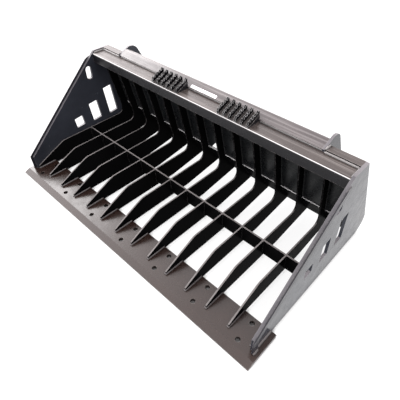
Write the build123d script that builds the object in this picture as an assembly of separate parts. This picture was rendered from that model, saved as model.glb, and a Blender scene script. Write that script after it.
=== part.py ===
from build123d import *
import math
import os

# A rock bucket for a skid steer loader: a floor of upright ribs between two side plates,
# a bolt-hole cutting edge in front, a back plate, a top beam with step bars,
# and the plate, hook and ledge behind it that a loader's coupler locks into.
#
# Millimetres. x runs across the bucket from its middle, y runs back from the cutting lip
# and z runs up from the ground. The finished pieces are shifted so that y = 0 is mid-depth.
# A side profile is a list of (y, z) corners.

# Cutting edge
edge_width = 1500.0
edge_depth = 160.0
edge_thickness = 16.0
edge_bevel_depth = 28.0
edge_lip_thickness = 4.0
edge_hole_diameter = 21.0
edge_hole_columns = 7
edge_hole_spacing = 220.0
edge_hole_rows = (55.0, 136.0)

# Ribs
rib_count = 14
rib_pitch = 110.0
rib_thickness = 6.0
rib_height = 106.0
rib_bottom_z = 6.0
rib_tip_y = 68.0
rib_tip_z = 30.0
rib_kink_y = 235.0
rib_swell = 2.0
rib_kink_radius = 60.0
rib_inner_radius = 34.0
rib_heel_y = 520.0
leg_foot_y = 644.0
leg_depth = 43.0
leg_lean = math.radians(12.1)

# Side plates and the cutters welded along their front edges
side_inner_x = 713.0
side_thickness = 12.0
side_nose_y = 57.0
side_nose_z = 86.0
side_slope = math.radians(41.7)
side_top_z = 505.0
side_rear_overhang = 2.0
side_rear_radius = 60.0
side_top_radius = 8.0
cutter_thickness = 6.0
cutter_reach = 11.0
cutter_width = 30.0
cutter_bevel = 4.0
cutter_top_z = 473.0
cutter_end_length = 28.0
cutter_end_slope = math.radians(20.0)

# Windows of the side plates: centre y, centre z, width, height
window_tilt = 5.7
window_radius = 5.0
windows = ((357.0, 164.0, 50.0, 55.0), (462.5, 188.5, 54.0, 107.0), (569.0, 215.5, 53.0, 160.0))
grip_slot_y = 474.5
grip_slot_z = 404.5
grip_slot_length = 67.0
grip_slot_width = 32.0

# Cross bar halved into the ribs
bar_y = 410.0
bar_thickness = 7.0
bar_bottom_z = 28.0

# Back plate and the plate below it
back_thickness = 8.0
lower_thickness = 12.0
lower_top_y = 670.0
lower_top_z = 162.0
lower_bottom_y = 754.0
lower_bottom_z = 35.0
notch_half_width = 36.0
notch_height = 46.0

# Top beam
beam_front_y = 516.0
beam_top_z = 494.0
beam_flange_height = 45.0
beam_thickness = 8.0
beam_bend_radius = 9.0
beam_step_y = 585.0
rear_strip_back_y = 622.0

# Attach plate, hook and ledge, on a plane that leans forward
attach_lean = math.radians(28.0)
attach_half_width = 568.0
attach_thickness = 8.0
attach_ledge_top_z = 115.0
hook_thickness = 10.0
hook_front = 31.0
hook_back = 19.5
hook_lip_length = 42.0
hook_lip_bend = math.radians(75.0)
hook_bend_radius = 12.0
ledge_thickness = 12.0
ledge_front_y = 804.0
ledge_back_y = 877.0
pin_slot_length = 46.0
pin_slot_width = 28.0
pin_slot_spacing = 813.0
pin_slot_y = 854.0
ear_thickness = 10.0
ear_reach = 67.0
ear_top_radius = 48.0
ear_bottom_radius = 30.0
ear_bottom_z = 90.0
gusset_thickness = 10.0
gusset_x = 250.0
gusset_top_z = 440.0
gusset_bottom_z = 90.0

# Steps: a wedge on the beam with a row of toothed bars, and the name plate
step_front_y = 519.0
step_back_y = 588.0
step_front_rise = 1.0
step_back_rise = 30.0
step_side_margin = 2.0
step_bar_count = 6
step_bar_pitch = 30.0
step_bar_thickness = 8.0
step_bar_height = 22.0
step_tooth_count = 5
step_tooth_depth = 9.0
step_left_x = -177.0
step_right_x = 212.0
name_plate_length = 146.0
name_plate_x = -8.0
name_plate_front = 28.5
name_plate_back = 14.0
name_plate_thickness = 1.5

# Worked-out lines of the side view
side_outer_x = side_inner_x + side_thickness
rib_slot_z = (bar_bottom_z + rib_height) / 2
lower_slope = math.atan2(lower_bottom_y - lower_top_y, lower_top_z - lower_bottom_z)
lower_ledge = lower_thickness / math.cos(lower_slope)
back_width = back_thickness / math.cos(leg_lean)
back_foot_y = lower_top_y + lower_ledge - back_width
beam_under_z = beam_top_z - beam_thickness
beam_back_y = back_foot_y + back_width - (beam_under_z - lower_top_z) * math.tan(leg_lean)
attach_top_y = beam_step_y + hook_front * math.cos(attach_lean)
attach_top_z = beam_top_z + hook_front * math.sin(attach_lean) + hook_thickness * math.cos(attach_lean)


def side_profile(corners, rounds=None):
    """Closed (y, z) profile; rounds gives the radius of each corner that is round."""
    face = make_face(Polyline(*corners, close=True))
    for corner, radius in (rounds or {}).items():
        vertex = face.vertices().sort_by_distance((corner[0], corner[1], 0))[0]
        face = fillet(vertex, radius)
    return face


def across(face, start_x, thickness):
    """A side profile made into a plate that starts at start_x."""
    return extrude(Plane.YZ.offset(start_x) * face, amount=thickness, dir=(1, 0, 0))


def block(low, high):
    """Box between two opposite corners."""
    size = [top - bottom for bottom, top in zip(low, high)]
    middle = [(top + bottom) / 2 for bottom, top in zip(low, high)]
    return Pos(*middle) * Box(*size)


def leg_front_y(z):
    """Front of the rib legs at a height."""
    return leg_foot_y - (z - rib_height) * math.tan(leg_lean)


def back_front_y(z):
    """Front face of the back plate, which the rib legs stand against."""
    return back_foot_y - (z - lower_top_z) * math.tan(leg_lean)


def back_rear_y(z):
    """Rear face of the back plate."""
    return back_front_y(z) + back_width


def lower_rear_y(z):
    """Rear face of the lower plate."""
    return lower_top_y + lower_ledge + (lower_top_z - z) * math.tan(lower_slope)


def attach_point(behind, below):
    """Point a distance square behind the attach face and a distance below the hook's top."""
    y = attach_top_y + behind * math.cos(attach_lean) + below * math.sin(attach_lean)
    z = attach_top_z + behind * math.sin(attach_lean) - below * math.cos(attach_lean)
    return (y, z)


def attach_y(behind, z):
    """Where a plane parallel to the attach face reaches a height."""
    start_y, start_z = attach_point(behind, 0)
    return start_y + (start_z - z) * math.tan(attach_lean)


def cutting_edge():
    half = edge_width / 2
    section = side_profile([
        (0, 0),
        (edge_depth, 0),
        (edge_depth, edge_thickness),
        (edge_bevel_depth, edge_thickness),
        (0, edge_lip_thickness),
    ])
    plate = across(section, -half, edge_width)
    first = -edge_hole_spacing * (edge_hole_columns - 1) / 2
    for row in edge_hole_rows:
        for column in range(edge_hole_columns):
            hole = Cylinder(edge_hole_diameter / 2, edge_thickness * 3)
            plate -= Pos(first + column * edge_hole_spacing, row, 0) * hole
    return plate


def rib_face():
    """Side view of a rib: a foot on the cutting edge, a level floor and a leaning leg."""
    inner_corner = (leg_foot_y, rib_height)
    kink = (rib_kink_y, rib_height)
    middle_y = (rib_tip_y + rib_kink_y) / 2
    middle_z = (rib_tip_z + rib_height) / 2 + rib_swell
    face = side_profile([
        (rib_tip_y, edge_thickness),
        (rib_tip_y, rib_tip_z),
        (middle_y, middle_z),
        kink,
        inner_corner,
        (leg_front_y(beam_under_z), beam_under_z),
        (back_front_y(beam_under_z), beam_under_z),
        (back_foot_y, lower_top_z),
        (lower_top_y, lower_top_z),
        (lower_bottom_y, lower_bottom_z),
        (rib_heel_y, rib_bottom_z),
        (edge_depth, rib_bottom_z),
        (edge_depth, edge_thickness),
    ], {inner_corner: rib_inner_radius, (middle_y, middle_z): rib_height, kink: rib_kink_radius})
    slot = Rectangle(bar_thickness, rib_height - rib_slot_z, align=(Align.CENTER, Align.MIN))
    return face - Pos(bar_y, rib_slot_z) * slot


def rib_starts():
    """Left face of every rib; the outer two lie flat against the side plates."""
    starts = [-side_inner_x]
    for number in range(1, rib_count - 1):
        centre = (number - (rib_count - 1) / 2) * rib_pitch
        starts.append(centre - rib_thickness / 2)
    starts.append(side_inner_x - rib_thickness)
    return starts


def mid_cross_bar():
    half = bar_thickness / 2
    low = (-side_inner_x, bar_y - half, bar_bottom_z)
    bar = block(low, (side_inner_x, bar_y + half, rib_height))
    for start in rib_starts():
        low = (start, bar_y - half, bar_bottom_z)
        bar -= block(low, (start + rib_thickness, bar_y + half, rib_slot_z))
    return bar


def window_faces():
    faces = []
    for centre_y, centre_z, width, height in windows:
        opening = RectangleRounded(width, height, window_radius)
        faces.append(Pos(centre_y, centre_z) * Rot(0, 0, window_tilt) * opening)
    slot = SlotOverall(grip_slot_length, grip_slot_width, rotation=90)
    faces.append(Pos(grip_slot_y, grip_slot_z) * slot)
    return faces


def side_plate(start_x):
    rear_y = attach_y(side_rear_overhang, 0)
    top_rear = (attach_y(side_rear_overhang, side_top_z), side_top_z)
    top_front = (side_nose_y + (side_top_z - side_nose_z) / math.tan(side_slope), side_top_z)
    face = side_profile([
        (side_nose_y, edge_thickness),
        (side_nose_y, side_nose_z),
        top_front,
        top_rear,
        (rear_y, 0),
        (edge_depth, 0),
        (edge_depth, edge_thickness),
    ], {(rear_y, 0): side_rear_radius, top_front: side_top_radius})
    for opening in window_faces():
        face -= opening
    return across(face, start_x, side_thickness)


def side_cutter(side):
    """Wear strip outside a side plate's front edge; side is -1 for left and 1 for right."""
    reach = (math.sin(side_slope) * cutter_reach, -math.cos(side_slope) * cutter_reach)
    nose_y = side_nose_y - cutter_reach
    slope_shift = cutter_reach / math.sin(side_slope)

    def front_z(y):
        return side_nose_z + (y - side_nose_y + slope_shift) * math.tan(side_slope)

    def rear_z(y):
        return front_z(y) - cutter_width / math.cos(side_slope)

    nose = (nose_y, front_z(nose_y))
    front_top_y = nose_y + (cutter_top_z - nose[1]) / math.tan(side_slope)
    end_y = front_top_y + cutter_end_length * math.cos(cutter_end_slope)
    end_z = cutter_top_z + cutter_end_length * math.sin(cutter_end_slope)
    behind = cutter_width - cutter_reach
    rear_top = (end_y + behind * math.sin(side_slope), end_z - behind * math.cos(side_slope))
    inner_nose_y = nose_y + cutter_width
    face = side_profile([
        (nose_y, edge_thickness),
        nose,
        (front_top_y, cutter_top_z),
        (end_y, end_z),
        rear_top,
        (inner_nose_y, rear_z(inner_nose_y)),
        (inner_nose_y, edge_thickness),
    ])
    start = side_outer_x if side > 0 else -side_outer_x - cutter_thickness
    strip = across(face, start, cutter_thickness)
    outer_x = side * (side_outer_x + cutter_thickness)
    outer = strip.faces().sort_by_distance((outer_x, nose_y, side_nose_z / 2))
    outer = [f for f in outer if abs(f.center().X - outer_x) < 0.01][0]
    slope_middle = ((nose_y + front_top_y) / 2, (nose[1] + cutter_top_z) / 2)
    upright = outer.edges().sort_by_distance((outer_x, nose_y, (edge_thickness + nose[1]) / 2))[0]
    sloping = outer.edges().sort_by_distance((outer_x, slope_middle[0], slope_middle[1]))[0]
    return chamfer([upright, sloping], cutter_bevel)


def back_plate():
    section = side_profile([
        (back_foot_y, lower_top_z),
        (back_front_y(beam_under_z), beam_under_z),
        (back_rear_y(beam_under_z), beam_under_z),
        (back_rear_y(lower_top_z), lower_top_z),
    ])
    plate = across(section, -side_inner_x, side_inner_x * 2)
    notch = make_face(Polyline(
        (-notch_half_width, lower_top_z),
        (0, lower_top_z + notch_height),
        (notch_half_width, lower_top_z),
        close=True,
    ))
    notch = Plane.XZ.offset(-back_foot_y - back_width * 2) * notch
    return plate - extrude(notch, amount=back_width * 4, dir=(0, -1, 0))


def lower_plate():
    back = (lower_thickness * math.cos(lower_slope), lower_thickness * math.sin(lower_slope))
    section = side_profile([
        (lower_top_y, lower_top_z),
        (lower_bottom_y, lower_bottom_z),
        (lower_bottom_y + back[0], lower_bottom_z + back[1]),
        (lower_top_y + lower_ledge, lower_top_z),
    ])
    return across(section, -side_inner_x, side_inner_x * 2)


def top_beam():
    flange_bottom = beam_top_z - beam_flange_height
    outer_bend = (beam_front_y, beam_top_z)
    inner_bend = (beam_front_y + beam_thickness, beam_under_z)
    section = side_profile([
        (beam_front_y, flange_bottom),
        outer_bend,
        (beam_back_y, beam_top_z),
        (beam_back_y, beam_under_z),
        inner_bend,
        (beam_front_y + beam_thickness, flange_bottom),
    ], {outer_bend: beam_bend_radius, inner_bend: beam_bend_radius / 2})
    return across(section, -side_inner_x, side_inner_x * 2)


def rear_strip(side):
    """Flat strip on the beam between an ear and the side plate."""
    inner = attach_half_width + ear_thickness
    low_x, high_x = sorted((side * inner, side * side_inner_x))
    low = (low_x, beam_step_y, beam_top_z)
    return block(low, (high_x, rear_strip_back_y, side_top_z))


def attach_plate():
    section = side_profile([
        attach_point(-attach_thickness, hook_thickness),
        attach_point(0, hook_thickness),
        (attach_y(0, attach_ledge_top_z), attach_ledge_top_z),
        (attach_y(-attach_thickness, attach_ledge_top_z), attach_ledge_top_z),
    ])
    return across(section, -attach_half_width, attach_half_width * 2)


def attach_hook():
    """Strip square to the attach plate, its rear edge bent down over the coupler's top edge."""
    lip_run = hook_lip_length * math.cos(hook_lip_bend)
    lip_drop = hook_lip_length * math.sin(hook_lip_bend)
    inset = (hook_thickness * math.sin(hook_lip_bend), hook_thickness * math.cos(hook_lip_bend))
    outer_bend = attach_point(hook_back, 0)
    inner_back = hook_back - hook_thickness * math.tan(hook_lip_bend / 2)
    inner_bend = attach_point(inner_back, hook_thickness)
    section = side_profile([
        attach_point(-hook_front, 0),
        outer_bend,
        attach_point(hook_back + lip_run, lip_drop),
        attach_point(hook_back + lip_run - inset[0], lip_drop + inset[1]),
        inner_bend,
        attach_point(-hook_front, hook_thickness),
    ], {outer_bend: hook_bend_radius, inner_bend: hook_bend_radius - hook_thickness})
    return across(section, -attach_half_width, attach_half_width * 2)


def attach_ledge():
    half = attach_half_width
    bottom_z = attach_ledge_top_z - ledge_thickness
    plate = block((-half, ledge_front_y, bottom_z), (half, ledge_back_y, attach_ledge_top_z))
    for side in (-1, 1):
        slot = extrude(SlotOverall(pin_slot_length, pin_slot_width), amount=ledge_thickness * 3)
        middle = (side * pin_slot_spacing / 2, pin_slot_y, bottom_z - ledge_thickness)
        plate -= Pos(*middle) * slot
    return plate


def ear(side):
    """Plate that closes an end of the hook and ledge and ties them to the back plate."""
    rear_bottom = (attach_y(ear_reach, ear_bottom_z), ear_bottom_z)
    rear_top = attach_point(ear_reach, 0)
    face = side_profile([
        (beam_step_y, beam_top_z),
        attach_point(-hook_front, 0),
        rear_top,
        rear_bottom,
        (lower_rear_y(ear_bottom_z), ear_bottom_z),
        (lower_top_y + lower_ledge, lower_top_z),
        (beam_back_y, beam_under_z),
        (beam_back_y, beam_top_z),
    ], {rear_top: ear_top_radius, rear_bottom: ear_bottom_radius})
    start = attach_half_width if side > 0 else -attach_half_width - ear_thickness
    return across(face, start, ear_thickness)


def gusset(side):
    """Web between the back plate and the attach plate."""
    face = side_profile([
        (back_rear_y(gusset_top_z), gusset_top_z),
        (attach_y(-attach_thickness, gusset_top_z), gusset_top_z),
        (attach_y(-attach_thickness, attach_ledge_top_z), attach_ledge_top_z),
        (ledge_front_y, attach_ledge_top_z),
        (ledge_front_y, gusset_bottom_z),
        (lower_rear_y(gusset_bottom_z), gusset_bottom_z),
        (lower_top_y + lower_ledge, lower_top_z),
    ])
    return across(face, side * gusset_x - gusset_thickness / 2, gusset_thickness)


def step_point(share, rise):
    """Point above the step wedge's slope; share runs from 0 at its front to 1 at its back."""
    y = step_front_y + share * (step_back_y - step_front_y)
    z = beam_top_z + step_front_rise + share * (step_back_rise - step_front_rise)
    return (y, z + rise)


def step_wedge(middle_x):
    """Wedge that carries the toothed bars up to the level of the hook strip."""
    hook_z = attach_point(-hook_front, 0)[1]
    over_hook = (step_back_y - beam_step_y) * math.tan(attach_lean)
    face = side_profile([
        (step_front_y, beam_top_z),
        step_point(0, 0),
        step_point(1, 0),
        (step_back_y, hook_z + over_hook),
        (beam_step_y, hook_z),
        (beam_step_y, beam_top_z),
    ])
    width = step_bar_pitch * (step_bar_count - 1) + step_bar_thickness + step_side_margin * 2
    return across(face, middle_x - width / 2, width)


def step_bars(middle_x):
    """Upright toothed bars, side by side on the wedge."""
    corners = [step_point(0, 0), step_point(0, step_bar_height - step_tooth_depth)]
    for tooth in range(step_tooth_count):
        for part, drop in ((0.5, 0.0), (1.0, step_tooth_depth)):
            corners.append(step_point((tooth + part) / step_tooth_count, step_bar_height - drop))
    corners.append(step_point(1, 0))
    face = side_profile(corners)
    bars = []
    for number in range(step_bar_count):
        offset = (number - (step_bar_count - 1) / 2) * step_bar_pitch
        bars.append(across(face, middle_x + offset - step_bar_thickness / 2, step_bar_thickness))
    return Compound(children=bars)


def name_plate():
    section = side_profile([
        attach_point(-name_plate_front, 0),
        attach_point(-name_plate_front, -name_plate_thickness),
        attach_point(-name_plate_back, -name_plate_thickness),
        attach_point(-name_plate_back, 0),
    ])
    return across(section, name_plate_x - name_plate_length / 2, name_plate_length)


pieces = {
    "cutting_edge": cutting_edge(),
    "mid_cross_bar": mid_cross_bar(),
    "side_plate_left": side_plate(-side_outer_x),
    "side_plate_right": side_plate(side_inner_x),
    "side_cutter_left": side_cutter(-1),
    "side_cutter_right": side_cutter(1),
    "back_plate": back_plate(),
    "lower_plate": lower_plate(),
    "top_beam": top_beam(),
    "rear_strip_left": rear_strip(-1),
    "rear_strip_right": rear_strip(1),
    "attach_plate": attach_plate(),
    "attach_hook": attach_hook(),
    "attach_ledge": attach_ledge(),
    "ear_left": ear(-1),
    "ear_right": ear(1),
    "gusset_left": gusset(-1),
    "gusset_right": gusset(1),
    "step_wedge_left": step_wedge(step_left_x),
    "step_wedge_right": step_wedge(step_right_x),
    "step_bars_left": step_bars(step_left_x),
    "step_bars_right": step_bars(step_right_x),
    "name_plate": name_plate(),
}
rib_outline = rib_face()
for number, start in enumerate(rib_starts()):
    pieces[f"rib_{number:02d}"] = across(rib_outline, start, rib_thickness)

overall_depth = max(piece.bounding_box().max.Y for piece in pieces.values())
os.makedirs("parts", exist_ok=True)
for node, piece in pieces.items():
    export_step(Pos(0, -overall_depth / 2, 0) * piece, f"parts/{node}.step")
print("overall depth", round(overall_depth, 3))
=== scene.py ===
import math

import bmesh
import bpy
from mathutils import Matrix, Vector


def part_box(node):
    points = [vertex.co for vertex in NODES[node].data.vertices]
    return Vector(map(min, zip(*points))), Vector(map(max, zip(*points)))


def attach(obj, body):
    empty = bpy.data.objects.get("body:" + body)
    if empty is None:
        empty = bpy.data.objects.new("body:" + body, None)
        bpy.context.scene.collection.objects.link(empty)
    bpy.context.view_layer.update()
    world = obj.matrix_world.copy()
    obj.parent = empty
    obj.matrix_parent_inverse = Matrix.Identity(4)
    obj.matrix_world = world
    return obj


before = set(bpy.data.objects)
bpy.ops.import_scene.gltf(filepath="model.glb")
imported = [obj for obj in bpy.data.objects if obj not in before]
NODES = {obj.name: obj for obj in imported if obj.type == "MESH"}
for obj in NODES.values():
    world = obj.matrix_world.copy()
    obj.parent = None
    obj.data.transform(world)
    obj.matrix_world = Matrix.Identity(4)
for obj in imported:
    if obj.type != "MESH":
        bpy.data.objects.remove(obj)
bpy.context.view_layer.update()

# A rock bucket for a skid steer loader, in black paint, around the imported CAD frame.
# Metres. x runs across the bucket, y back towards the loader and z up.

# Sizes and angles that the CAD part has
LIP_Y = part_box("cutting_edge")[0].y
EDGE_TOP = 0.016
RIB_TIP = 0.068
LEG_LEAN = math.radians(12.1)
BACK_PLATE = 0.008
BACK_WIDTH = BACK_PLATE / math.cos(LEG_LEAN)
SIDE_SLOPE = math.radians(41.7)
SIDE_NOSE = (0.057, 0.086)
CUTTER_BEHIND = 0.019
CUTTER_FOOT = 0.030
ATTACH_LEAN = math.radians(28.0)
ATTACH_PLATE = 0.008
HOOK_THICKNESS = 0.010

# Camera at the front right, looking down into the bucket
CAMERA_PLACE = (0.9978, -0.9089, 1.2908)
CAMERA_LOOK = (-0.4960, 0.5336, -0.6850)
CAMERA_LENS = 33.95
CAMERA_SHIFT = (-0.0199, -0.0186)

# Surroundings: brightness on each side, where it changes along x, and colour
SKY_LEFT = 5.8
SKY_RIGHT = 2.3
SKY_CHANGE = (-0.35, -0.85)
SKY_TINT = (1.0, 0.955, 0.960, 1)
LIGHT_TARGET = (0, 0, 0.2)

# Floor: it glows, except where the open share around a point is small, which is painted shade in
# narrow gaps
FLOOR_SIZE = 30.0
FLOOR_DROP = 0.0005
FLOOR_GLOW = 0.90
GAP_REACH = 0.030
GAP_OPEN = (0.42, 0.60)

# Paint: each pair is where an effect starts and where it is full
WORN_RADIUS = 0.0022
WORN_TURN = (0.985, 0.90)
# LEVEL_UP: upward turn of a face where the painted light on top starts and where it is full
LEVEL_UP = (0.50, 0.90)
# BEND_MIDDLE: the band of a bend that gets a painted highlight
BEND_MIDDLE = (0.455, 0.490)
CLOUD_GAIN = 1.8
STREAK_SHARE = 0.34
PEEL_HEIGHT = 0.00004
WAVE_HEIGHT = 0.0006
BUMP_STRENGTH = 0.5


# ---------------------------------------------------------------- materials

class Nodes:
    """Short way to add and join the nodes of one material."""

    def __init__(self, name):
        self.material = bpy.data.materials.new(name)
        self.material.use_nodes = True
        self.tree = self.material.node_tree
        self.tree.nodes.clear()

    def add(self, kind, inputs=None, **settings):
        node = self.tree.nodes.new("ShaderNode" + kind)
        for key, value in settings.items():
            setattr(node, key, value)
        for key, value in (inputs or {}).items():
            socket = node.inputs[key]
            if isinstance(value, bpy.types.NodeSocket):
                self.tree.links.new(value, socket)
            else:
                socket.default_value = value
        return node

    def math(self, operation, a, b, clamp=False):
        node = self.add("Math", {0: a, 1: b}, operation=operation, use_clamp=clamp)
        return node.outputs[0]

    def spread(self, value, low, high, to_low=0.0, to_high=1.0):
        node = self.add("MapRange", {0: value, 1: low, 2: high, 3: to_low, 4: to_high})
        return node.outputs[0]

    def noise(self, scale, detail=4.0, roughness=0.55, stretch=(1, 1, 1)):
        where = self.add("TexCoord").outputs["Object"]
        if stretch != (1, 1, 1):
            where = self.add("Mapping", {"Vector": where, "Scale": stretch}).outputs[0]
        node = self.add("TexNoise", {
            "Vector": where, "Scale": scale, "Detail": detail, "Roughness": roughness,
        })
        return node.outputs[0]

    def mix(self, share, first, second):
        """Colours by share: 0 is the first and 1 the second."""
        node = self.add("Mix", {0: share}, data_type="RGBA")
        for index, value in ((6, first), (7, second)):
            if isinstance(value, bpy.types.NodeSocket):
                self.tree.links.new(value, node.inputs[index])
            else:
                node.inputs[index].default_value = (*value, 1.0)
        return node.outputs[2]


def edge_wear(nodes):
    """1 along edges and 0 on flat faces, broken up by noise."""
    rounded = nodes.add("Bevel", {"Radius": WORN_RADIUS}, samples=6).outputs[0]
    flat = nodes.add("NewGeometry").outputs["Normal"]
    turned = nodes.add("VectorMath", {0: rounded, 1: flat}, operation="DOT_PRODUCT")
    near = nodes.spread(turned.outputs["Value"], *WORN_TURN)
    broken = nodes.spread(nodes.noise(scale=55.0, detail=6.0, roughness=0.7), low=0.38, high=0.62)
    return nodes.math("MULTIPLY", near, broken)


def bend_band(nodes, normal):
    """1 along the middle of a bend between an upright and a level face, where the painted
    highlight goes.
    """
    parts = nodes.add("SeparateXYZ", {0: normal})
    front = nodes.math("MULTIPLY", parts.outputs["Y"], -1.0)
    return nodes.spread(nodes.math("MULTIPLY", front, parts.outputs["Z"]), *BEND_MIDDLE)


def paint(name, tone, painted_top_light, worn, shine=0.5, roughness=(0.22, 0.36), streaks=0.0, wear=0.6,
          painted_bend_highlight=None, ior=1.5):
    """Sprayed paint: tone with clouds in it, painted light on what faces up, worn edges, a painted
    highlight along a bend, orange peel.
    """
    nodes = Nodes(name)
    clouds = nodes.spread(nodes.noise(scale=4.0, detail=5.0), low=0.3, high=0.7)
    colour = nodes.mix(clouds, tone, tuple(CLOUD_GAIN * c for c in tone))

    # What faces up gets a lighter colour, in patches: painted light from above.
    normal = nodes.add("NewGeometry").outputs["Normal"]
    up = nodes.add("SeparateXYZ", {0: normal}).outputs["Z"]
    facing = nodes.spread(up, *LEVEL_UP)
    uneven_top_light = nodes.noise(scale=11.0, detail=7.0, roughness=0.62, stretch=(0.35, 1, 1))
    patches = nodes.spread(uneven_top_light, low=0.30, high=0.72, to_low=0.55, to_high=1.0)
    colour = nodes.mix(nodes.math("MULTIPLY", facing, patches), colour, painted_top_light)

    worn_share = nodes.math("MULTIPLY", edge_wear(nodes), wear, clamp=True)
    colour = nodes.mix(worn_share, colour, worn)
    if streaks:
        scratches = nodes.noise(scale=80.0, detail=4.0, roughness=0.6, stretch=(0.02, 1, 1))
        fine = nodes.spread(scratches, low=0.50, high=0.68, to_high=STREAK_SHARE)
        colour = nodes.mix(nodes.math("MULTIPLY", facing, fine), colour, worn)
    # A pale band along the middle of a bend: a painted highlight.
    if painted_bend_highlight:
        colour = nodes.mix(bend_band(nodes, normal), colour, painted_bend_highlight)

    uneven = nodes.noise(scale=26.0, detail=6.0, roughness=0.6)
    rough = nodes.spread(uneven, 0.3, 0.7, *roughness)
    grain = nodes.noise(scale=420.0, detail=2.0, roughness=0.5)
    peel = nodes.math("MULTIPLY", grain, PEEL_HEIGHT)
    swell = nodes.noise(scale=7.0, detail=2.0, roughness=0.4)
    waves = nodes.math("MULTIPLY", swell, WAVE_HEIGHT)
    height = nodes.math("ADD", peel, waves)
    if streaks:
        lines = nodes.noise(scale=60.0, detail=5.0, roughness=0.6, stretch=(0.03, 1, 1))
        height = nodes.math("ADD", height, nodes.math("MULTIPLY", lines, streaks))
    bump = nodes.add("Bump", {
        "Strength": BUMP_STRENGTH, "Distance": 1.0, "Height": height,
    }).outputs[0]

    shader = nodes.add("BsdfPrincipled", {
        "Base Color": colour, "Roughness": rough, "Normal": bump, "Specular IOR Level": shine,
        "IOR": ior,
    })
    output = nodes.add("OutputMaterial")
    nodes.tree.links.new(shader.outputs[0], output.inputs[0])
    return nodes.material


# Side paint is lighter than the other black paint: painted light on the side plates.
SIDES = paint("side_paint", (0.014, 0.0155, 0.020), (0.150, 0.142, 0.150), (0.20, 0.195, 0.20),
              shine=0.45, roughness=(0.18, 0.28), ior=1.32)
# Beam paint, with a pale painted highlight along its front bend.
BEAM = paint("beam_paint", (0.004, 0.004, 0.005), (0.050, 0.040, 0.037), (0.24, 0.22, 0.21),
             shine=0.30, streaks=0.0003, painted_bend_highlight=(0.50, 0.50, 0.50))
HOOK = paint("hook_paint", (0.005, 0.004, 0.005), (0.070, 0.060, 0.061), (0.34, 0.32, 0.32),
             shine=0.5, streaks=0.0003, wear=0.8)
INSIDE = paint("inside_paint", (0.0045, 0.005, 0.0055), (0.10, 0.095, 0.095),
               (0.12, 0.12, 0.12), shine=0.14, wear=0.4)
# Near white on what faces up: a painted highlight along the top edge of the lower plate.
LOWER = paint("lower_paint", (0.0015, 0.0015, 0.0018), (0.92, 0.92, 0.93),
              (0.10, 0.10, 0.10), wear=0.3, roughness=(0.35, 0.5), ior=1.03)
# Rib paint is darker than the side paint: painted shade for the ribs standing in the bays.
RIBS = paint("rib_paint", (0.0016, 0.0016, 0.0017), (0.170, 0.160, 0.158),
             (0.22, 0.21, 0.21), wear=0.35, ior=1.03)
EDGE = paint("edge_paint", (0.009, 0.0055, 0.0045), (0.0185, 0.0100, 0.0078),
             (0.24, 0.22, 0.21), roughness=(0.20, 0.32))
CUTTER = paint("cutter_paint", (0.006, 0.006, 0.009), (0.05, 0.048, 0.05),
               (0.22, 0.21, 0.21), shine=0.3)
# Pale on what faces up: painted highlights on the step teeth. The pale edges are partly real wear
# and partly painted highlight.
STEPS = paint("step_paint", (0.0015, 0.0015, 0.002), (0.40, 0.39, 0.38),
              (0.75, 0.75, 0.75), wear=0.75, roughness=(0.18, 0.30), ior=1.25)
WEDGE = paint("wedge_paint", (0.004, 0.004, 0.005), (0.050, 0.045, 0.043), (0.24, 0.22, 0.21),
              shine=0.32)
# Weld paint paler than the other welds: a painted highlight on the beads.
WELD_PAINTED_HIGHLIGHT = paint("weld_painted_highlight_paint", (0.03, 0.03, 0.03), (0.30, 0.285, 0.28),
                    (0.60, 0.59, 0.58), wear=0.9)
WELD = paint("weld_paint", (0.012, 0.010, 0.010), (0.090, 0.080, 0.080), (0.30, 0.28, 0.28))
LABEL = paint("label_plate", (0.55, 0.55, 0.56), (0.85, 0.85, 0.86), (0.7, 0.7, 0.7), wear=0.2)

FINISH = {
    "cutting_edge": EDGE,
    "mid_cross_bar": RIBS,
    "side_plate_left": SIDES,
    "side_plate_right": SIDES,
    "side_cutter_left": CUTTER,
    "side_cutter_right": CUTTER,
    "back_plate": INSIDE,
    "lower_plate": LOWER,
    "attach_hook": HOOK,
    "ear_left": SIDES,
    "ear_right": SIDES,
    "step_wedge_left": WEDGE,
    "step_wedge_right": WEDGE,
    "step_bars_left": STEPS,
    "step_bars_right": STEPS,
    "name_plate": LABEL,
}
for node_name, node in NODES.items():
    node.data.materials.clear()
    node.data.materials.append(FINISH.get(node_name, RIBS if "rib_" in node_name else BEAM))


# ---------------------------------------------------------------- weld beads

# Shape of a bead: its ends are lower, it is scalloped along its length and bulges a little
BEAD_SIDES = 5
RIPPLE = 0.0048
RINGS_PER_RIPPLE = 4
TURN_STEPS = 6
BEAD_SINK = 0.0006
END_HEIGHT = 0.45
SCALLOP = 0.16
ROUNDNESS = 0.45

# Where beads start, stop and repeat
LEG_GAP = 0.004
CROSSING_GAP = 0.002
OUTER_RIB_SLACK = 0.001
STITCH_COUNT = 4
STITCH_START = 0.035
STITCH_PITCH = 0.140
STITCH_LENGTH = 0.065
BEHIND_BEND = 0.010
REAR_GAP = 0.006
EAR_WELD_TOP = 0.400
WEB_WELD = (0.020, 0.330)


def vec(x, y, z):
    """A point in the row frame from a y measured back from the cutting lip."""
    return Vector((x, LIP_Y + y, z))


def straight(start, end, out, up):
    """Stations of a bead along the corner of two plates: (point, along one, along the other)."""
    count = max(2, round((end - start).length / RIPPLE * RINGS_PER_RIPPLE))
    return [(start.lerp(end, i / count), out, up) for i in range(count + 1)]


def turn(point, out, next_out, up):
    """Stations where a bead goes round the end of a plate."""
    return [(point, out.slerp(next_out, i / TURN_STEPS), up) for i in range(1, TURN_STEPS)]


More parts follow.
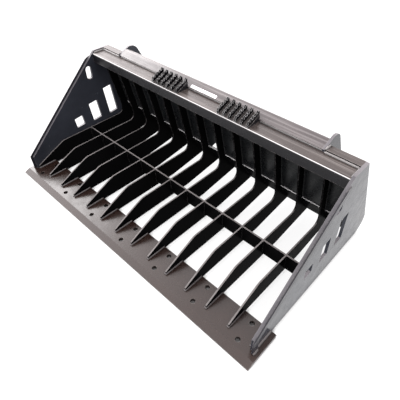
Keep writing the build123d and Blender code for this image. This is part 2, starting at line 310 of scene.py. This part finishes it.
def lay_bead(bm, stations, leg):
    """Rippled fillet, closed at both ends, sunk a little into the plates."""
    rings, travelled = [], 0.0
    previous = stations[0][0] + stations[0][1] * leg / 2
    lengths = []
    for point, out, _ in stations:
        here = point + out * leg / 2
        travelled += (here - previous).length
        previous = here
        lengths.append(travelled)
    for (point, out, up), length in zip(stations, lengths):
        end = min(length, travelled - length)
        taper = END_HEIGHT + (1 - END_HEIGHT) * math.sqrt(min(1.0, end / leg))
        scallop = 1 - SCALLOP + SCALLOP * abs(math.cos(math.pi * length / RIPPLE))
        ring = [bm.verts.new(point - (out + up) * BEAD_SINK)]
        for i in range(BEAD_SIDES):
            share = i / (BEAD_SIDES - 1)
            reach = leg * taper * (scallop if 0 < share < 1 else 1.0)
            across = math.sin(share * math.pi / 2)
            along = math.cos(share * math.pi / 2)
            bulge = (1 - ROUNDNESS) / (across + along) + ROUNDNESS
            ring.append(bm.verts.new(point + (out * along + up * across) * reach * bulge))
        rings.append(ring)
    for first, second in zip(rings, rings[1:]):
        for i in range(len(first)):
            j = (i + 1) % len(first)
            bm.faces.new((first[i], first[j], second[j], second[i]))
    bm.faces.new(rings[0])
    bm.faces.new(rings[-1][::-1])


def weld_piece(name, beads, leg, finish):
    """One piece made of all the beads of one seam."""
    bm = bmesh.new()
    for stations in beads:
        lay_bead(bm, stations, leg)
    bmesh.ops.recalc_face_normals(bm, faces=bm.faces)
    mesh = bpy.data.meshes.new(name)
    bm.to_mesh(mesh)
    bm.free()
    for face in mesh.polygons:
        face.use_smooth = True
    piece = bpy.data.objects.new(name, mesh)
    bpy.context.scene.collection.objects.link(piece)
    mesh.materials.append(finish)
    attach(piece, "root")


X, Y, Z = Vector((1, 0, 0)), Vector((0, 1, 0)), Vector((0, 0, 1))
ribs = sorted(name for name in NODES if name.startswith("rib_"))
free_ribs = ribs[1:-1]
edge_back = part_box("cutting_edge")[1].y - LIP_Y


def foot_beads():
    """Round the foot of each free rib, and along the inside of the two outer ones."""
    beads = []
    for name in free_ribs:
        left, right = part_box(name)[0].x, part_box(name)[1].x
        tip_left, tip_right = vec(left, RIB_TIP, EDGE_TOP), vec(right, RIB_TIP, EDGE_TOP)
        beads.append(
            straight(vec(left, edge_back, EDGE_TOP), tip_left, -X, Z)
            + turn(tip_left, -X, -Y, Z)
            + straight(tip_left, tip_right, -Y, Z)
            + turn(tip_right, -Y, X, Z)
            + straight(tip_right, vec(right, edge_back, EDGE_TOP), X, Z)
        )
    for name, side in ((ribs[0], 1), (ribs[-1], -1)):
        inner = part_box(name)[1].x if side > 0 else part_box(name)[0].x
        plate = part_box("side_plate_left")[1].x if side > 0 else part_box("side_plate_right")[0].x
        tip = vec(inner, RIB_TIP, EDGE_TOP)
        wall = vec(plate, RIB_TIP, EDGE_TOP)
        beads.append(
            straight(vec(inner, edge_back, EDGE_TOP), tip, X * side, Z)
            + turn(tip, X * side, -Y, Z)
            + straight(tip, wall, -Y, Z)
        )
    return beads


def side_foot_beads():
    """Outside the side plates, along the cutting edge."""
    beads = []
    for side, plate, cutter in ((-1, "side_plate_left", "side_cutter_left"),
                                (1, "side_plate_right", "side_cutter_right")):
        outer = side * max(abs(corner.x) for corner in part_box(plate))
        proud = side * max(abs(corner.x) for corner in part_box(cutter))
        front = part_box(cutter)[0].y - LIP_Y
        step = front + CUTTER_FOOT
        beads.append(straight(vec(outer, edge_back, EDGE_TOP), vec(outer, step, EDGE_TOP),
                              X * side, Z))
        beads.append(straight(vec(proud, step, EDGE_TOP), vec(proud, front, EDGE_TOP),
                              X * side, Z))
    return beads


def leg_beads():
    """Up both sides of each rib's leg, against the back plate."""
    low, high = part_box("back_plate")
    along = Vector((0, -math.sin(LEG_LEAN), math.cos(LEG_LEAN)))
    face = Vector((0, -math.cos(LEG_LEAN), -math.sin(LEG_LEAN)))
    foot = high.y - BACK_WIDTH
    flange_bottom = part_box("top_beam")[0].z
    reach = (flange_bottom - low.z) / math.cos(LEG_LEAN)
    beads = []
    for name in free_ribs:
        for side, x in ((-1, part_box(name)[0].x), (1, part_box(name)[1].x)):
            start = Vector((x, foot, low.z)) + along * LEG_GAP
            beads.append(straight(start, start + along * (reach - 2 * LEG_GAP), X * side, face))
    return beads


def crossing_beads():
    """Upright beads in the corners where the cross bar is halved into the ribs."""
    low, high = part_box("mid_cross_bar")
    beads = []
    for name in ribs:
        for side, x in ((-1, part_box(name)[0].x), (1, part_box(name)[1].x)):
            if abs(x) > abs(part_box(ribs[-1])[0].x) + OUTER_RIB_SLACK:
                continue
            for y, out in ((low.y, -Y), (high.y, Y)):
                beads.append(straight(Vector((x, y, low.z + CROSSING_GAP)),
                                      Vector((x, y, high.z - CROSSING_GAP)), out, X * side))
    return beads


def cutter_beads():
    """Stitches along the rear edge of each side cutter."""
    along = Vector((0, math.cos(SIDE_SLOPE), math.sin(SIDE_SLOPE)))
    behind = Vector((0, math.sin(SIDE_SLOPE), -math.cos(SIDE_SLOPE)))
    beads = []
    for side, plate in ((-1, "side_plate_left"), (1, "side_plate_right")):
        outer = side * max(abs(corner.x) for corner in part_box(plate))
        start = vec(outer, *SIDE_NOSE) + behind * CUTTER_BEHIND
        for number in range(STITCH_COUNT):
            first = start + along * (STITCH_START + STITCH_PITCH * number)
            beads.append(straight(first, first + along * STITCH_LENGTH, behind, X * side))
    return beads


def top_beads():
    """On the beam: along the hook strip, beside the side plates and outside the ears."""
    beam_low, beam_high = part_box("top_beam")
    strip_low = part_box("rear_strip_left")[0]
    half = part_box("ear_right")[0].x
    rise = Vector((0, -math.sin(ATTACH_LEAN), math.cos(ATTACH_LEAN)))
    foot_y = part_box("attach_hook")[0].y + HOOK_THICKNESS * math.sin(ATTACH_LEAN)
    wedges = sorted((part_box(name)[0].x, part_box(name)[1].x)
                    for name in ("step_wedge_left", "step_wedge_right"))
    edges = [-half] + [x for pair in wedges for x in pair] + [half]
    beads = []
    for left, right in zip(edges[::2], edges[1::2]):
        beads.append(straight(Vector((left, foot_y, beam_high.z)),
                              Vector((right, foot_y, beam_high.z)), -Y, rise))
    for side in (-1, 1):
        wall = side * beam_high.x
        beads.append(straight(Vector((wall, beam_low.y + BEHIND_BEND, beam_high.z)),
                              Vector((wall, strip_low.y, beam_high.z)), -X * side, Z))
        ear = side * max(abs(corner.x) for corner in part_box("ear_right"))
        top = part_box("rear_strip_left")[1]
        beads.append(straight(Vector((ear, strip_low.y, top.z)), Vector((ear, top.y, top.z)),
                              X * side, Z))
        beads.append(straight(Vector((ear, strip_low.y, beam_high.z)),
                              Vector((wall, strip_low.y, beam_high.z)), -Y, Z))
    return beads


def rear_beads():
    """Where the attach plate meets the ears, the ledge and the two webs."""
    rise = Vector((0, -math.sin(ATTACH_LEAN), math.cos(ATTACH_LEAN)))
    face = Vector((0, math.cos(ATTACH_LEAN), math.sin(ATTACH_LEAN)))
    low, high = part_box("attach_plate")
    foot = Vector((0, high.y, low.z))
    beads = [straight(foot + X * (low.x + REAR_GAP), foot + X * (high.x - REAR_GAP), Y, rise)]
    for side in (-1, 1):
        corner = foot + X * side * high.x
        beads.append(straight(corner + rise * REAR_GAP, corner + rise * EAR_WELD_TOP,
                              -X * side, face))
    front = foot - face * ATTACH_PLATE
    for name in ("gusset_left", "gusset_right"):
        web_low, web_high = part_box(name)
        for x, out in ((web_low.x, -X), (web_high.x, X)):
            start = front + X * x
            beads.append(straight(start + rise * WEB_WELD[0], start + rise * WEB_WELD[1],
                                  out, -face))
    return beads


weld_piece("weld_rib_feet", foot_beads(), leg=0.0050, finish=WELD)
weld_piece("weld_side_feet", side_foot_beads(), leg=0.0085, finish=WELD)
weld_piece("weld_rib_legs", leg_beads(), leg=0.0045, finish=INSIDE)
weld_piece("weld_crossings", crossing_beads(), leg=0.0036, finish=RIBS)
weld_piece("weld_cutters", cutter_beads(), leg=0.0045, finish=SIDES)
# The beads on the beam get the paler weld paint: painted highlight.
weld_piece("weld_beam", top_beads(), leg=0.0065, finish=WELD_PAINTED_HIGHLIGHT)
weld_piece("weld_attach", rear_beads(), leg=0.0055, finish=BEAM)


# ---------------------------------------------------------------- light, floor, camera

def emitter_floor():
    """Wide white floor that glows under the bucket, with painted shade in narrow gaps over it."""
    bm = bmesh.new()
    bmesh.ops.create_grid(bm, x_segments=4, y_segments=4, size=FLOOR_SIZE)
    mesh = bpy.data.meshes.new("floor")
    bm.to_mesh(mesh)
    bm.free()
    floor = bpy.data.objects.new("floor", mesh)
    floor.location.z = -FLOOR_DROP
    bpy.context.scene.collection.objects.link(floor)
    nodes = Nodes("floor_white")
    tone = nodes.mix(nodes.noise(scale=0.5), (0.14, 0.14, 0.14), (0.15, 0.15, 0.15))
    # Less glow where little is open round a point: painted shade in the gaps and holes.
    open_share = nodes.add("AmbientOcclusion", {"Distance": GAP_REACH}, samples=8).outputs["AO"]
    glow = nodes.spread(open_share, *GAP_OPEN, to_high=FLOOR_GLOW)
    shader = nodes.add("BsdfPrincipled", {
        "Base Color": tone, "Roughness": 0.9, "Specular IOR Level": 0.1,
        "Emission Color": (1, 1, 1, 1), "Emission Strength": glow,
    })
    output = nodes.add("OutputMaterial")
    nodes.tree.links.new(shader.outputs[0], output.inputs[0])
    mesh.materials.append(nodes.material)


def soft_box(name, place, size, power):
    """Rectangular lamp that points at the bucket."""
    lamp = bpy.data.lights.new(name, "AREA")
    lamp.shape = "RECTANGLE"
    lamp.size, lamp.size_y = size
    lamp.energy = power
    light = bpy.data.objects.new(name, lamp)
    light.location = place
    aim = Vector(LIGHT_TARGET) - Vector(place)
    light.rotation_mode = "QUATERNION"
    light.rotation_quaternion = aim.to_track_quat("-Z", "Y")
    bpy.context.scene.collection.objects.link(light)


def sky():
    """Even white light from all round, brighter on the left."""
    world = bpy.data.worlds.new("studio")
    bpy.context.scene.world = world
    world.use_nodes = True
    tree = world.node_tree
    where = tree.nodes.new("ShaderNodeTexCoord")
    split = tree.nodes.new("ShaderNodeSeparateXYZ")
    spread = tree.nodes.new("ShaderNodeMapRange")
    tree.links.new(where.outputs["Generated"], split.inputs[0])
    tree.links.new(split.outputs["X"], spread.inputs[0])
    for index, value in enumerate((*SKY_CHANGE, SKY_RIGHT, SKY_LEFT), start=1):
        spread.inputs[index].default_value = value
    background = tree.nodes["Background"]
    background.inputs[0].default_value = SKY_TINT
    tree.links.new(spread.outputs[0], background.inputs[1])


def studio():
    sky()
    soft_box("key", place=(-3.2, 0.2, 2.4), size=(1.6, 1.6), power=55)
    soft_box("fill", place=(2.8, -1.2, 2.2), size=(2.5, 2.5), power=20)
    emitter_floor()
    bpy.context.scene.view_settings.view_transform = "Standard"


def camera():
    data = bpy.data.cameras.new("camera")
    data.lens = CAMERA_LENS
    data.sensor_width = 36.0
    data.shift_x, data.shift_y = CAMERA_SHIFT
    data.clip_start, data.clip_end = 0.05, 100.0
    eye = bpy.data.objects.new("camera", data)
    eye.location = CAMERA_PLACE
    eye.rotation_mode = "QUATERNION"
    eye.rotation_quaternion = Vector(CAMERA_LOOK).to_track_quat("-Z", "Y")
    bpy.context.scene.collection.objects.link(eye)
    bpy.context.scene.camera = eye


studio()
camera()
